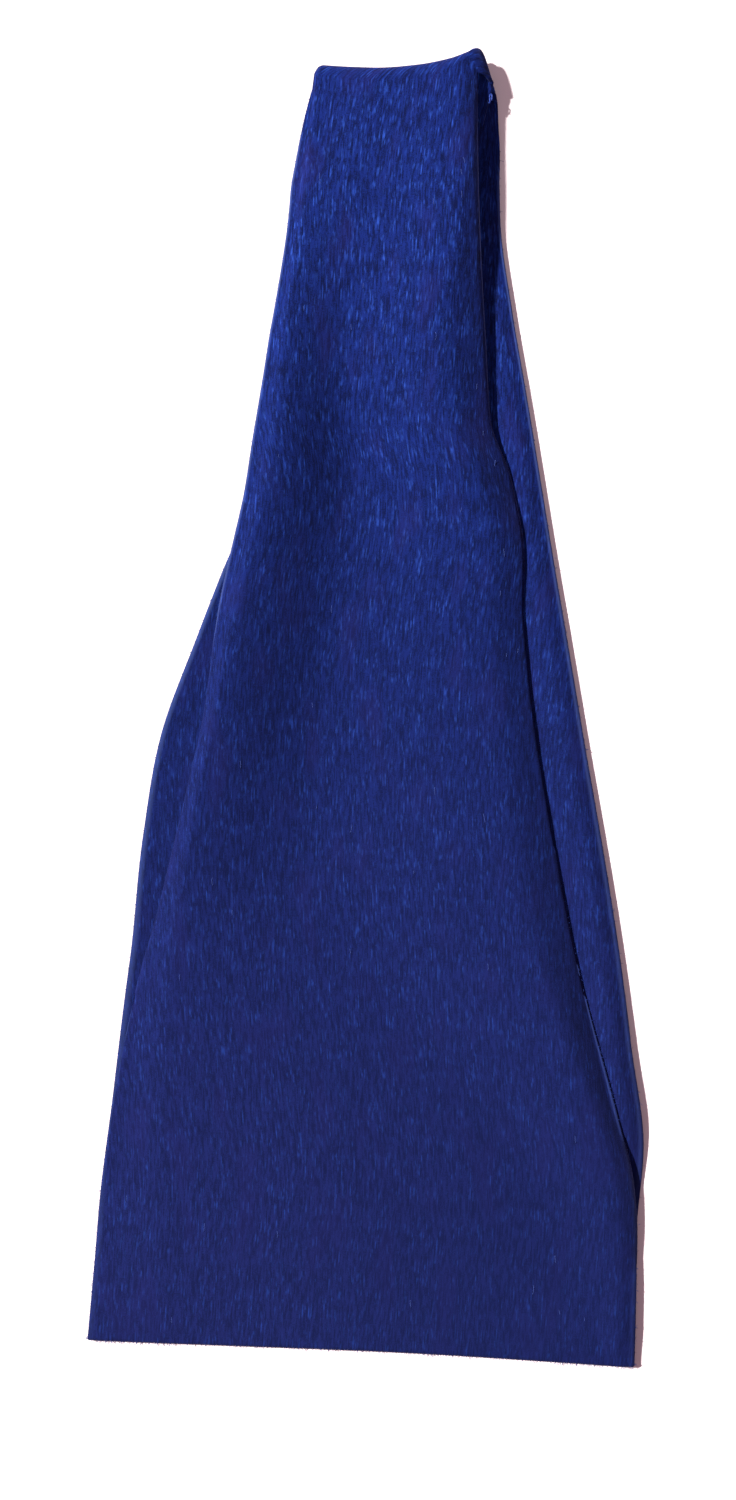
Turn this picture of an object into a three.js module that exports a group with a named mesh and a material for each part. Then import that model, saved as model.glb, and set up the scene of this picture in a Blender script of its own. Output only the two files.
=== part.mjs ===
// A tapered sweatband of brushed stretch jersey, lying flat on a table.
// One cut panel is closed into a loop by an overlocked seam. The loop lies on its lower ply, with the
// wide front fold at -Y, the narrow back fold with the seam at +Y, and +Z up.
// The panel's thickness is real, its cut edges roll under, and its underside rests flat on z = 0.
import * as THREE from "three";

// Driving dimensions, in millimetres.
const FABRIC_THICKNESS = 0.6;
const LAID_LENGTH = 239; // from fold to fold
const FRONT_WIDTH = 100.4; // across the cloth at the front fold
const BACK_WIDTH = 34; // across the cloth at the back seam
const TAPER_LEAD = 6; // the widening has begun this far before the seam
const TAPER_LENGTH = 224; // and takes this length of cloth
const BACK_OPENING = 7.4; // clear height inside the back fold
const PLY_GAP = 1.0; // clear height between the plies at the front fold
const BACK_OPENING_LENGTH = 38; // the back stands open at full height for this length
const CLOSING_LENGTH = 90; // the plies come together over this length after it
const ROLL_RADIUS = 2.2; // of the cut edges that roll under, to the middle of the cloth
const ROLL_CLOTH = 7.4; // the most cloth that one edge rolls in
const ROLL_START = 32; // distance from the back seam where the edges begin to roll
const ROLL_FULL = 112; // where they are rolled most
const ROLL_EASES = 132; // where they begin to lie flat again
const ROLL_END = 214; // and where they lie flat
const UPPER_SHIFT = 2.5; // the upper ply lies this far towards -X of the lower
const SHIFT_START = 20; // the shift grows over this length of cloth after the seam
const SHIFT_FADES = 110; // and fades out from here to where the edges lie flat
const SEAM_ALLOWANCE = 8; // turned inside on both sides of the seam
const SEAM_GAP = 0.3; // between the two allowances
const SEAM_BEND = 0.5; // radius of the turn into an allowance, to the middle of the cloth
const THREAD_DIAMETER = 0.35;
const STITCH_LENGTH = 3;
const OVERLOCK_WIDTH = 5; // from the needle line to the allowances' free edge
const THREAD_CLEARANCE = 0.3; // between threads, and from a thread to the cloth

// Mesh fineness.
const RUN_STEPS = 36; // along each ply
const BACK_ARC_STEPS = 6; // along each half of the back fold
const FRONT_ARC_STEPS = 6;
const BEND_STEPS = 3;
const ROLL_STEPS = 5; // across each edge that can roll
const MIDDLE_STEPS = 4; // across the rest
const THREAD_SIDES = 5;
const LOOPER_STEPS_PER_STITCH = 16;
const NEEDLE_STEPS = 96;

const half = FABRIC_THICKNESS / 2;

function smooth(from, to, value) {
  return THREE.MathUtils.smoothstep(value, from, to);
}

// Half the cloth's width at a distance from the back seam.
function halfWidth(distance) {
  const share = smooth(-TAPER_LEAD, TAPER_LENGTH - TAPER_LEAD, distance);
  return (BACK_WIDTH + (FRONT_WIDTH - BACK_WIDTH) * share) / 2;
}

// How much cloth each edge of the upper ply rolls in.
function rolledCloth(distance) {
  const rising = smooth(ROLL_START, ROLL_FULL, distance);
  const falling = 1 - smooth(ROLL_EASES, ROLL_END, distance);
  return ROLL_CLOTH * rising * falling;
}

function rollDepth(cloth) {
  return ROLL_RADIUS * (1 - Math.cos(Math.min(cloth / ROLL_RADIUS, Math.PI)));
}

// Height of the middle of the upper ply's cloth: over the lower ply, the clear gap and its own rolled edge.
function upperHeight(distance) {
  const closing = smooth(BACK_OPENING_LENGTH, BACK_OPENING_LENGTH + CLOSING_LENGTH, distance);
  const gap = BACK_OPENING + (PLY_GAP - BACK_OPENING) * closing;
  return FABRIC_THICKNESS + gap + half + rollDepth(rolledCloth(distance));
}

// The folds seen from the side, in the YZ plane. The seam's two bends are the loop's furthest points back.
const backRadius = (upperHeight(0) - half) / 2;
const frontRadius = (FABRIC_THICKNESS + PLY_GAP) / 2;
const bendHeight = SEAM_GAP / 2 + half + SEAM_BEND;
const bendReach = Math.sqrt(backRadius ** 2 - bendHeight ** 2);
const backCentre = new THREE.Vector2(LAID_LENGTH / 2 - half - bendReach, half + backRadius);
const frontCentre = new THREE.Vector2(half + frontRadius - LAID_LENGTH / 2, half + frontRadius);

function arc(centre, radius, fromAngle, toAngle, steps) {
  const points = [];
  for (let i = 0; i <= steps; i++) {
    const angle = fromAngle + ((toAngle - fromAngle) * i) / steps;
    const spoke = new THREE.Vector2(Math.cos(angle), Math.sin(angle)).multiplyScalar(radius);
    points.push(spoke.add(centre));
  }
  return points;
}

// The allowance, its bend and the rounded back fold on one side of the seam, from the free edge.
// side is 1 for the upper ply and -1 for the lower.
function seamEnd(side) {
  const allowanceHeight = backCentre.y + side * (SEAM_GAP / 2 + half);
  const startAngle = side * Math.asin(bendHeight / backRadius);
  const bendY = backCentre.x + bendReach - SEAM_BEND;
  const bendCentre = new THREE.Vector2(bendY, backCentre.y + side * bendHeight);
  const quarter = (side * Math.PI) / 2;
  return {
    allowance: [new THREE.Vector2(LAID_LENGTH / 2 - SEAM_ALLOWANCE, allowanceHeight)],
    bend: arc(bendCentre, SEAM_BEND, -quarter, 0, BEND_STEPS),
    fold: arc(backCentre, backRadius, startAngle, quarter, BACK_ARC_STEPS),
  };
}

// A ply from the back fold to the front fold, with its height at each distance from the seam.
function ply(height) {
  const points = [];
  const quarterFold = (Math.PI / 2) * backRadius;
  for (let i = 1; i < RUN_STEPS; i++) {
    const y = THREE.MathUtils.lerp(backCentre.x, frontCentre.x, i / RUN_STEPS);
    points.push(new THREE.Vector2(y, height(backCentre.x - y + quarterFold)));
  }
  return points;
}

// The middle of the cloth seen from the side, from one allowance's free edge round to the other's.
// Each station also knows its distance from the seam along the cloth, and whether it is on the upper ply.
function loopStations() {
  const upper = seamEnd(1);
  const lower = seamEnd(-1);
  const tuckedIn = [...upper.allowance, ...upper.bend];
  const front = arc(frontCentre, frontRadius, Math.PI / 2, (Math.PI * 3) / 2, FRONT_ARC_STEPS);
  const upperSide = [...upper.fold.slice(1), ...ply(upperHeight)];
  const lowerSide = [...ply(() => half).reverse(), ...lower.fold.slice(1).reverse()];
  const tuckedBack = [...lower.bend.reverse(), ...lower.allowance];
  const points = [...tuckedIn, ...upperSide, ...front, ...lowerSide, ...tuckedBack];
  const along = [0];
  for (let i = 1; i < points.length; i++) along.push(along[i - 1] + points[i].distanceTo(points[i - 1]));
  const seamIn = along[tuckedIn.length - 1];
  const seamOut = along[points.length - tuckedBack.length];
  const frontFold = tuckedIn.length + upperSide.length;
  return points.map((point, i) => ({
    y: point.x,
    z: point.y,
    distance: Math.max(0, Math.min(along[i] - seamIn, seamOut - along[i])),
    upper: i >= tuckedIn.length && i < frontFold,
  }));
}

// Cloth positions across the panel, as shares of its half width, closer together where an edge rolls.
function acrossShares() {
  const edgeShare = 1 - (1.15 * ROLL_CLOTH) / halfWidth(ROLL_FULL);
  const shares = [];
  for (let i = 0; i < ROLL_STEPS; i++) {
    shares.push(THREE.MathUtils.lerp(-1, -edgeShare, i / ROLL_STEPS));
  }
  for (let i = 0; i <= MIDDLE_STEPS; i++) {
    shares.push(THREE.MathUtils.lerp(-edgeShare, edgeShare, i / MIDDLE_STEPS));
  }
  for (let i = 1; i <= ROLL_STEPS; i++) {
    shares.push(THREE.MathUtils.lerp(edgeShare, 1, i / ROLL_STEPS));
  }
  return shares;
}

// How far the upper ply has drifted towards -X.
function drift(distance) {
  return UPPER_SHIFT * smooth(0, SHIFT_START, distance) * (1 - smooth(SHIFT_FADES, ROLL_END, distance));
}

// The middle of the cloth at one station and one share of the half width.
function clothPoint(station, share) {
  const width = halfWidth(station.distance);
  const offset = Math.abs(share) * width;
  const cloth = station.upper ? rolledCloth(station.distance) : 0;
  const shift = station.upper ? drift(station.distance) : 0;
  const turned = Math.max(0, offset - (width - cloth));
  const angle = turned / ROLL_RADIUS;
  const out = offset - turned + ROLL_RADIUS * Math.sin(angle);
  const down = ROLL_RADIUS * (1 - Math.cos(angle));
  return new THREE.Vector3(Math.sign(share) * out - shift, station.y, station.z - down);
}

function makeBandPanel() {
  const stations = loopStations();
  const shares = acrossShares();
  const middle = stations.map((station) => shares.map((share) => clothPoint(station, share)));
  const lastI = stations.length - 1;
  const lastJ = shares.length - 1;
  const outward = (i, j) => {
    const before = middle[Math.max(i - 1, 0)][j];
    const along = middle[Math.min(i + 1, lastI)][j].clone().sub(before);
    const left = middle[i][Math.max(j - 1, 0)];
    const across = middle[i][Math.min(j + 1, lastJ)].clone().sub(left);
    return across.cross(along).normalize().multiplyScalar(-half);
  };
  const geometry = new THREE.BoxGeometry(1, 1, 1, lastJ, lastI, 1);
  const position = geometry.getAttribute("position");
  for (let v = 0; v < position.count; v++) {
    const j = Math.round((position.getX(v) + 0.5) * lastJ);
    const i = Math.round((0.5 - position.getY(v)) * lastI);
    const side = Math.sign(position.getZ(v));
    const point = middle[i][j].clone().addScaledVector(outward(i, j), side);
    position.setXYZ(v, point.x, point.y, point.z);
  }
  geometry.computeVertexNormals();
  const jersey = new THREE.MeshStandardMaterial({ color: 0x1b2c86, roughness: 0.85, metalness: 0 });
  return namedMesh("band_panel", geometry, jersey);
}

// The overlocked seam lies along X at these places, seen from the side.
const seamY = LAID_LENGTH / 2 - SEAM_ALLOWANCE;
const needleY = seamY + OVERLOCK_WIDTH;
const threadReach = THREAD_CLEARANCE + THREAD_DIAMETER / 2; // from the cloth to the middle of a thread
const faceHeight = SEAM_GAP / 2 + FABRIC_THICKNESS + threadReach;

// A round thread along a smooth line through the points.
function threadAlong(points, steps) {
  const section = new THREE.Shape();
  for (let i = 0; i < THREAD_SIDES; i++) {
    const angle = (i / THREAD_SIDES) * Math.PI * 2;
    const x = (Math.cos(angle) * THREAD_DIAMETER) / 2;
    const y = (Math.sin(angle) * THREAD_DIAMETER) / 2;
    if (i === 0) section.moveTo(x, y);
    else section.lineTo(x, y);
  }
  const line = new THREE.CatmullRomCurve3(points);
  return new THREE.ExtrudeGeometry(section, { steps, extrudePath: line, bevelEnabled: false });
}

// A looper thread: one loop for each stitch, lying on one face of the allowances and hooked a little way
// round their free edge. side is 1 for the upper face and -1 for the lower.
function makeLooperThread(name, side) {
  const stitches = Math.round(BACK_WIDTH / STITCH_LENGTH);
  const pitch = BACK_WIDTH / stitches;
  const innerY = needleY - THREAD_DIAMETER - THREAD_CLEARANCE;
  const outerY = seamY - threadReach;
  const hookHeight = (THREAD_DIAMETER + THREAD_CLEARANCE) / 2;
  const cornerReach = threadReach * Math.SQRT1_2;
  const cornerY = seamY - cornerReach;
  const cornerHeight = faceHeight - threadReach + cornerReach;
  const points = [];
  for (let i = 0; i < stitches; i++) {
    const at = (share, y, height) => {
      const x = (i + share) * pitch - BACK_WIDTH / 2;
      points.push(new THREE.Vector3(x, y, backCentre.y + side * height));
    };
    at(0, innerY, faceHeight);
    at(0.25, innerY - pitch / 4, faceHeight);
    at(0.25, seamY + threadReach, faceHeight);
    at(0.27, cornerY, cornerHeight);
    at(0.5, outerY, hookHeight);
    at(0.73, cornerY, cornerHeight);
    at(0.75, seamY + threadReach, faceHeight);
    at(0.75, innerY - pitch / 4, faceHeight);
  }
  points.push(new THREE.Vector3(BACK_WIDTH / 2, innerY, backCentre.y + side * faceHeight));
  return namedMesh(name, threadAlong(points, stitches * LOOPER_STEPS_PER_STITCH), thread());
}

// The needle thread: along the needle line on the upper face, round the seam's end and back underneath.
function makeNeedleThread() {
  const end = BACK_WIDTH / 2;
  const turnX = end + threadReach;
  const at = (x, height) => new THREE.Vector3(x, needleY, backCentre.y + height);
  const upper = [at(-end, faceHeight), at(0, faceHeight), at(end - threadReach, faceHeight)];
  const turn = [at(turnX, faceHeight / 2), at(turnX, -faceHeight / 2)];
  const lower = [at(end - threadReach, -faceHeight), at(0, -faceHeight), at(-end, -faceHeight)];
  const points = [...upper, ...turn, ...lower];
  return namedMesh("seam_needle_thread", threadAlong(points, NEEDLE_STEPS), thread());
}

function thread() {
  return new THREE.MeshStandardMaterial({ color: 0x2a4fc4, roughness: 0.55, metalness: 0 });
}

function namedMesh(name, geometry, material) {
  const mesh = new THREE.Mesh(geometry, material);
  mesh.name = name;
  return mesh;
}

const sweatband = new THREE.Group();
sweatband.add(makeBandPanel());
sweatband.add(makeNeedleThread());
sweatband.add(makeLooperThread("seam_upper_looper_thread", 1));
sweatband.add(makeLooperThread("seam_lower_looper_thread", -1));

export default sweatband;
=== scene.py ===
"""A tapered sweatband of brushed stretch jersey, lying flat on a pale floor.

The band is one panel of cloth closed into a loop by an overlocked seam inside its narrow back fold. The loop
lies on its lower ply, and its clean-cut edges curl under. Lengths in the shape functions are in millimetres,
and every mesh is written in metres.
"""

import math

import bpy
import numpy as np
from mathutils import Matrix, Vector


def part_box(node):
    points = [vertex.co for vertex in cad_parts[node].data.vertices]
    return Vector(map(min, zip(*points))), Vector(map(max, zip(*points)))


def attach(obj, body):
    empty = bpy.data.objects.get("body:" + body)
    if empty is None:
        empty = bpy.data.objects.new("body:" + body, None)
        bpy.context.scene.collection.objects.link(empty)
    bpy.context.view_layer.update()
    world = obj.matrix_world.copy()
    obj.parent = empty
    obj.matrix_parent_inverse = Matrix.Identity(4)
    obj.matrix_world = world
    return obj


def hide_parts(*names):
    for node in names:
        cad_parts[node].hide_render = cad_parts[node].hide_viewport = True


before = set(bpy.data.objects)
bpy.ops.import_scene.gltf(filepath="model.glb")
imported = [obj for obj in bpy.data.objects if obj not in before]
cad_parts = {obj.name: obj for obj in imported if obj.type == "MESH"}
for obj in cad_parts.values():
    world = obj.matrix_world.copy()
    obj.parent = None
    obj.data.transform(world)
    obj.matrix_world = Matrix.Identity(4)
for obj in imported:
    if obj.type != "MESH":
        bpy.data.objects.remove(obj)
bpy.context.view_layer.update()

bl_info = {
    "name": "Tapered sweatband",
    "version": (1, 0, 0),
    "blender": (4, 5, 0),
    "location": "3D View > Sidebar > Sweatband",
    "description": "Makes a laid-flat stretch sweatband, its overlocked seam and a plain stage for it",
    "category": "Mesh",
}

MM = 0.001  # metres in a millimetre

# The band's own sizes, from the frame.
BAND_LOW, BAND_HIGH = (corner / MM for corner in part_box("band_panel"))
SEAM_LOW, SEAM_HIGH = (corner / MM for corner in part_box("seam_upper_looper_thread"))
NEEDLE_LOW, NEEDLE_HIGH = (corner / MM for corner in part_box("seam_needle_thread"))
FRONT_HALF_WIDTH = (BAND_HIGH.x - BAND_LOW.x) / 2
LENGTH = BAND_HIGH.y - BAND_LOW.y
THREAD_DIAMETER = NEEDLE_HIGH.y - NEEDLE_LOW.y
BACK_HALF_WIDTH = (SEAM_HIGH.x - SEAM_LOW.x - THREAD_DIAMETER) / 2

# The cut of the cloth: it widens smoothly from the back seam to the front.
TAPER_LEAD = 6  # the widening has begun this far before the seam
TAPER_LENGTH = 224  # and takes this length of cloth
FOLD_LENGTH = 2.3  # how much longer the cloth's way is than the laid length, for its turn in the back fold
SEAM_ALLOWANCE = 8  # turned inside on both sides of the seam
SEAM_GAP = 0.06  # between the two allowances
SEAM_BEND = 0.42  # radius of the turn into an allowance, to the middle of the cloth
SEAM_SHARE = 0.7  # how much of the fold's sideways slant is over by the seam
FOLD_LEAN = 5.6  # how far inward the fold's lower half sits at its right end
ALLOWANCE_SLANT = 1.6  # how far in their right ends slant towards their free edges
SEAM_DROOP = 0.7  # how far the allowances' free edges have sunk
ALLOWANCE_FLAT = SEAM_ALLOWANCE - 0.75  # the stretch of an allowance past its turn
OVERLOCK_WIDTH = 5.0  # from the needle line to the allowances' free edge

# The outline of the laid loop. Each pair is (share of the length from the front fold, share of the cloth's
# half width at that place).
UPPER_RIGHT_REACH = (
    (0, 1.0), (0.09, 0.995), (0.14, 0.975), (0.19, 0.925), (0.31, 0.815), (0.4, 0.772), (0.5, 0.752),
    (0.58, 0.772), (0.645, 0.835), (0.69, 0.815), (0.735, 0.72), (0.8, 0.745), (0.9, 0.77), (1, 0.79),
)
UPPER_LEFT_REACH = (
    (0, 1.0), (0.1, 0.975), (0.19, 0.952), (0.27, 0.93), (0.35, 0.887), (0.48, 0.866), (0.6, 0.925),
    (0.66, 0.93), (0.72, 0.965), (0.8, 1.0), (0.88, 1.01), (0.94, 0.99), (1, 0.93),
)
LOWER_RIGHT_REACH = (
    (0, 0.995), (0.1, 0.995), (0.17, 1.02), (0.25, 0.995), (0.45, 0.985), (0.6, 1.005), (0.75, 1.03),
    (0.83, 1.01), (0.88, 0.99), (0.93, 1.02), (0.97, 1.05), (1, 1.04),
)
LOWER_LEFT_REACH = (
    (0, 1.0), (0.1, 0.978), (0.2, 0.957), (0.3, 0.97), (0.4, 1.025), (0.48, 1.06), (0.56, 1.01),
    (0.61, 0.965), (0.66, 0.905), (0.8, 0.92), (1, 0.86),
)
# How the two folds sit. Each pair is (share across from left to right, millimetres past the band's box).
BACK_FOLD_LINE = (
    (0, -3.3), (0.3, -3.6), (0.55, -2.9), (0.75, -1.6), (0.87, -0.2), (0.93, 0.8), (1, -1.6),
)
FRONT_FOLD_LINE = ((0, -0.9), (0.5, -0.6), (1, 0.8))

# Heights of the middle of the upper ply's cloth along its crests and its valley, in millimetres.
LEFT_CREST_HEIGHT = (
    (0, 1.5), (0.1, 2.0), (0.2, 2.4), (0.3, 3.2), (0.4, 4.5), (0.5, 5.5), (0.6, 5.9), (0.7, 6.0), (0.8, 5.4),
    (0.87, 5.0), (1, 5.0),
)
VALLEY_HEIGHT = (
    (0, 1.4), (0.06, 1.1), (0.2, 1.1), (0.32, 1.4), (0.38, 1.3), (0.45, 1.0), (0.65, 1.0), (0.7, 1.2),
    (0.74, 1.9), (0.8, 3.3), (0.87, 4.7), (0.93, 5.8), (1, 6.0),
)
RIGHT_CREST_HEIGHT = (
    (0, 1.5), (0.03, 1.5), (0.08, 2.2), (0.144, 3.8), (0.207, 4.5), (0.27, 4.4), (0.34, 4.0), (0.42, 3.8),
    (0.5, 3.4), (0.58, 3.6), (0.65, 5.0), (0.69, 5.9), (0.74, 6.2), (0.8, 7.2), (0.86, 7.5), (0.93, 7.3),
    (1, 6.9),
)
# Where across the upper ply they lie, as shares of the cloth's half width.
LEFT_CREST_PLACE = (
    (0, -0.75), (0.2, -0.74), (0.35, -0.8), (0.5, -0.81), (0.62, -0.81), (0.68, -0.79), (0.74, -0.82),
    (0.8, -0.88), (1, -0.9),
)
VALLEY_PLACE = (
    (0, 0.6), (0.08, 0.74), (0.144, 0.56), (0.207, 0.32), (0.27, 0.06), (0.33, -0.12), (0.38, -0.26),
    (0.45, -0.26), (0.5, -0.25), (0.57, -0.22), (0.65, -0.2), (0.7, -0.24), (0.75, -0.33), (0.8, -0.4),
    (0.87, -0.42), (1, -0.3),
)
RIGHT_CREST_PLACE = (
    (0, 0.95), (0.08, 0.93), (0.144, 0.89), (0.207, 0.8), (0.27, 0.7), (0.33, 0.62), (0.4, 0.57), (0.5, 0.54),
    (0.58, 0.56), (0.645, 0.63), (0.667, 0.6), (0.69, 0.53), (0.74, 0.4), (0.8, 0.36), (0.86, 0.46),
    (0.92, 0.58), (1, 0.6),
)
# How far the cloth falls from each crest to its edge, before the edge curls.
RIGHT_FALL = (
    (0, 0.15), (0.08, 0.8), (0.144, 1.5), (0.207, 2.7), (0.27, 3.1), (0.34, 2.8), (0.42, 2.6), (0.5, 2.2),
    (0.58, 2.1), (0.645, 2.5), (0.69, 3.8), (0.74, 3.3), (0.8, 3.2), (0.86, 2.5), (0.92, 1.4), (1, 0.8),
)
FALL_SPREAD = 1.6  # the fall's own smooth line runs on this many times past the edge, so the edge is steep
LEFT_FALL = ((0, 0.15), (0.1, 0.9), (0.2, 1.1), (0.35, 1.5), (0.6, 1.8), (0.7, 1.7), (0.8, 1.4), (1, 1.0))
# How far each cut edge has curled down, in degrees from level, and the radius that it curls to.
RIGHT_CURL = (
    (0, 0), (0.04, 20), (0.07, 60), (0.2, 72), (0.34, 88), (0.42, 120), (0.58, 120), (0.65, 85), (0.69, 62),
    (0.74, 58), (0.86, 64), (0.95, 64), (1, 50),
)
LEFT_CURL = (
    (0, 0), (0.05, 10), (0.1, 60), (0.16, 110), (0.4, 150), (0.5, 140), (0.58, 75), (0.66, 55), (0.85, 50),
    (0.96, 30), (1, 10),
)
RIGHT_CURL_RADIUS = (
    (0, 2.0), (0.07, 1.0), (0.2, 1.4), (0.34, 1.0), (0.42, 0.8), (0.58, 0.8), (0.65, 1.2), (0.7, 2.2),
    (0.8, 2.4), (0.86, 2.8), (1, 2.0),
)
LEFT_CURL_RADIUS = ((0, 1.2), (0.2, 1.0), (0.3, 1.3), (0.4, 1.6), (1, 1.6))

RESTING_GAP = 0.08  # least space between the plies
LOWER_LIFT = (
    (0, 0.5), (0.03, 1.2), (0.06, 1.1), (0.09, 0.15), (0.14, 0.3), (0.2, 2.0), (0.3, 1.5), (0.5, 1.3),
    (0.75, 1.2), (0.9, 1.0), (1, 0.5),
)
LOWER_LIFT_WIDTH = 9  # how far in from the lower ply's right edge it begins to lift off
LOWER_CREST = 3  # where it is highest
LOWER_EDGE_DROP = 0.45  # and the share of its lift that it loses by its edge


def smooth(low, high, value):
    """A soft step from 0 at low to 1 at high."""
    share = np.clip((value - low) / (high - low), 0, 1)
    return share * share * (3 - 2 * share)


def through(pairs, at):
    """A smooth line through a few (place, value) pairs that never overshoots them."""
    places, values = (np.array(column, float) for column in zip(*pairs))
    gaps = np.diff(places)
    slopes = np.diff(values) / gaps
    steady = slopes[:-1] * slopes[1:] > 0
    mean = 2 * slopes[:-1] * slopes[1:] / np.where(steady, slopes[:-1] + slopes[1:], 1)
    tangents = np.concatenate([slopes[:1], np.where(steady, mean, 0), slopes[-1:]])
    at = np.clip(np.asarray(at, float), places[0], places[-1])
    k = np.clip(np.searchsorted(places, at, side="right") - 1, 0, len(gaps) - 1)
    t = (at - places[k]) / gaps[k]
    start = (1 + 2 * t) * (1 - t) ** 2 * values[k] + t * (1 - t) ** 2 * gaps[k] * tangents[k]
    end = t * t * (3 - 2 * t) * values[k + 1] + t * t * (t - 1) * gaps[k] * tangents[k + 1]
    return start + end


def waves(x, y, seed, lengths, count=5):
    """Gentle undulation from a few crossing sine waves, between about -1 and 1."""
    random = np.random.default_rng(seed)
    total = np.zeros(np.broadcast(x, y).shape)
    for _ in range(count):
        turn, phase = random.uniform(0, 2 * math.pi, 2)
        length = random.uniform(*lengths)
        total = total + np.sin((x * math.cos(turn) + y * math.sin(turn)) * 2 * math.pi / length + phase)
    return total / count


# ---------------------------------------------------------------- the shape of the cloth


def half_width(along):
    """Half the cloth's width at a share of the length from the front fold."""
    from_seam = (1 - along) * LENGTH + FOLD_LENGTH
    share = smooth(-TAPER_LEAD, TAPER_LENGTH - TAPER_LEAD, from_seam)
    return BACK_HALF_WIDTH + (FRONT_HALF_WIDTH - BACK_HALF_WIDTH) * share


def across_shares():
    """Places across the cloth from -1 to 1, closest together near its edges."""
    edge = np.linspace(0, 0.3, 27)[:-1]
    middle = np.linspace(0.3, 1, 29)
    half = np.concatenate([edge, middle])
    return np.concatenate([half - 1, (1 - half)[:-1][::-1]])


def lower_ply(q, along):
    """The middle of the lower ply's cloth: flat on the floor, its right edge lifting a little."""
    half = half_width(along)
    left = -half * through(LOWER_LEFT_REACH, along)
    right = half * through(LOWER_RIGHT_REACH, along)
    x = left + (right - left) * (q + 1) / 2
    inward = right - x
    lift = smooth(LOWER_LIFT_WIDTH, LOWER_CREST, inward) - LOWER_EDGE_DROP * smooth(LOWER_CREST, 0, inward)
    lift = lift * through(LOWER_LIFT, along)
    left_lift = 0.25 * smooth(6, 0, x - left) * smooth(0.05, 0.3, along)
    return x, BAND.half_cloth + np.maximum(lift, 0) + left_lift


def relief(x, along):
    """The height of the middle of the upper ply's cloth before its edges curl."""
    left, right = through(LEFT_CREST_HEIGHT, along), through(RIGHT_CREST_HEIGHT, along)
    crest, edge = through(RIGHT_CREST_PLACE, along), through(UPPER_RIGHT_REACH, along)
    fall = through(RIGHT_FALL, along) / smooth(0, FALL_SPREAD, 1)
    marks = (
        (-through(UPPER_LEFT_REACH, along), left - through(LEFT_FALL, along)),
        (through(LEFT_CREST_PLACE, along), left),
        (through(VALLEY_PLACE, along), through(VALLEY_HEIGHT, along)),
        (crest, right),
        (crest + (edge - crest) * FALL_SPREAD, right - fall),
    )
    share = x / half_width(along)
    z = np.full(np.shape(x), marks[0][1], float)
    for (start, low), (end, high) in zip(marks, marks[1:]):
        z = z + (high - low) * smooth(start, end, share)
    return z


def ridge(x, y, line, height, uphill, downhill):
    """A crease along a line of points, with its own slope on each side. It fades out at both ends."""
    (x0, y0), (x1, y1) = line
    length = math.hypot(x1 - x0, y1 - y0)
    dx, dy = (x1 - x0) / length, (y1 - y0) / length
    along = (x - x0) * dx + (y - y0) * dy
    aside = (x - x0) * dy - (y - y0) * dx
    fade = smooth(-0.15, 0.2, along / length) * smooth(1.25, 0.8, along / length)
    return height * fade * np.exp(-((aside / np.where(aside > 0, uphill, downhill)) ** 2))


def curl(side, half, along):
    """Where one cut edge of the upper ply begins to curl, its radius, and its slopes there and at its end."""
    reach = half * through(UPPER_RIGHT_REACH if side > 0 else UPPER_LEFT_REACH, along)
    end = math.radians(float(through(RIGHT_CURL if side > 0 else LEFT_CURL, along)))
    radius = float(through(RIGHT_CURL_RADIUS if side > 0 else LEFT_CURL_RADIUS, along))
    start, first = reach, 0.0
    for _ in range(6):
        start = reach - radius * (math.sin(min(max(end, first), math.pi / 2)) - math.sin(first))
        near, far = relief(np.array([side * (start - 0.1), side * (start + 0.1)]), along)
        first = max(math.atan((near - far) / 0.2), 0.0)
    return start, radius, first, max(end, first)


def upper_ply(q, along, y):
    """The middle of the upper ply's cloth: its relief, and its edges curled under."""
    half = half_width(along)
    x = np.zeros(len(q))
    z = np.zeros(len(q))
    for side in (-1, 1):
        start, radius, first, end = curl(side, half, along)
        part = q * side >= 0
        cloth = np.abs(q[part]) * (start + radius * (end - first))
        past = np.maximum(cloth - start, 0)
        flat = np.minimum(cloth, start)
        angle = first + past / radius
        x[part] = side * (flat + radius * (np.sin(angle) - math.sin(first)))
        z[part] = relief(side * flat, along) - radius * (math.cos(first) - np.cos(angle))
    body = smooth(0.0, 0.12, along) * smooth(1, 0.9, along)
    z = z + 0.16 * body * waves(x, y, 11, (9, 26))
    for line, height, uphill, downhill in CREASES:
        z = z + ridge(x, y, line, height, uphill, downhill)
    return x, z


# Small creases: their line, their height, and how far each side spreads, in millimetres.
CREASES = (
    (((-33.0, 12.0), (-26.0, 6.5)), 0.35, 1.1, 1.4),
    (((1.0, 47.0), (13.0, 38.5)), 0.3, 3.5, 3.0),
)


def rest_on_lower(x, y, z, along):
    """Lifts any of the upper ply that would sink into the lower."""
    half = half_width(along)
    left = -half * through(LOWER_LEFT_REACH, along)
    right = half * through(LOWER_RIGHT_REACH, along)
    share = np.clip(2 * (x - left) / (right - left) - 1, -1, 1)
    _, below = lower_ply(share, along)
    over = (x > left - 0.5) & (x < right + 0.5)
    floor = np.where(over, below + 2 * BAND.half_cloth + RESTING_GAP, BAND.half_cloth)
    return np.maximum(z, floor)


class BackFold:
    """The middle of the two allowances inside the back fold, across the cloth."""

    def __init__(self, x, y, z):
        self.x, self.y, self.z = x, y, z

    def at(self, inward):
        """Its points this far inward from the turn. The free edge sinks and waves a little."""
        share = inward / ALLOWANCE_FLAT
        wave = 0.12 * share * np.sin(0.9 * self.x + 1.3)
        x = self.x - ALLOWANCE_SLANT * share * smooth(0.3, 1, self.x / self.x[-1])
        droop = SEAM_DROOP * np.maximum(share, 0) ** 1.5
        return x, self.y - inward, self.z - droop + wave

    def point(self, x, inward, height):
        """One point over or under the middle, at a place along the seam."""
        _, y, z = self.at(inward)
        return x, float(np.interp(x, self.x, y)), float(np.interp(x, self.x, z)) + height


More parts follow.
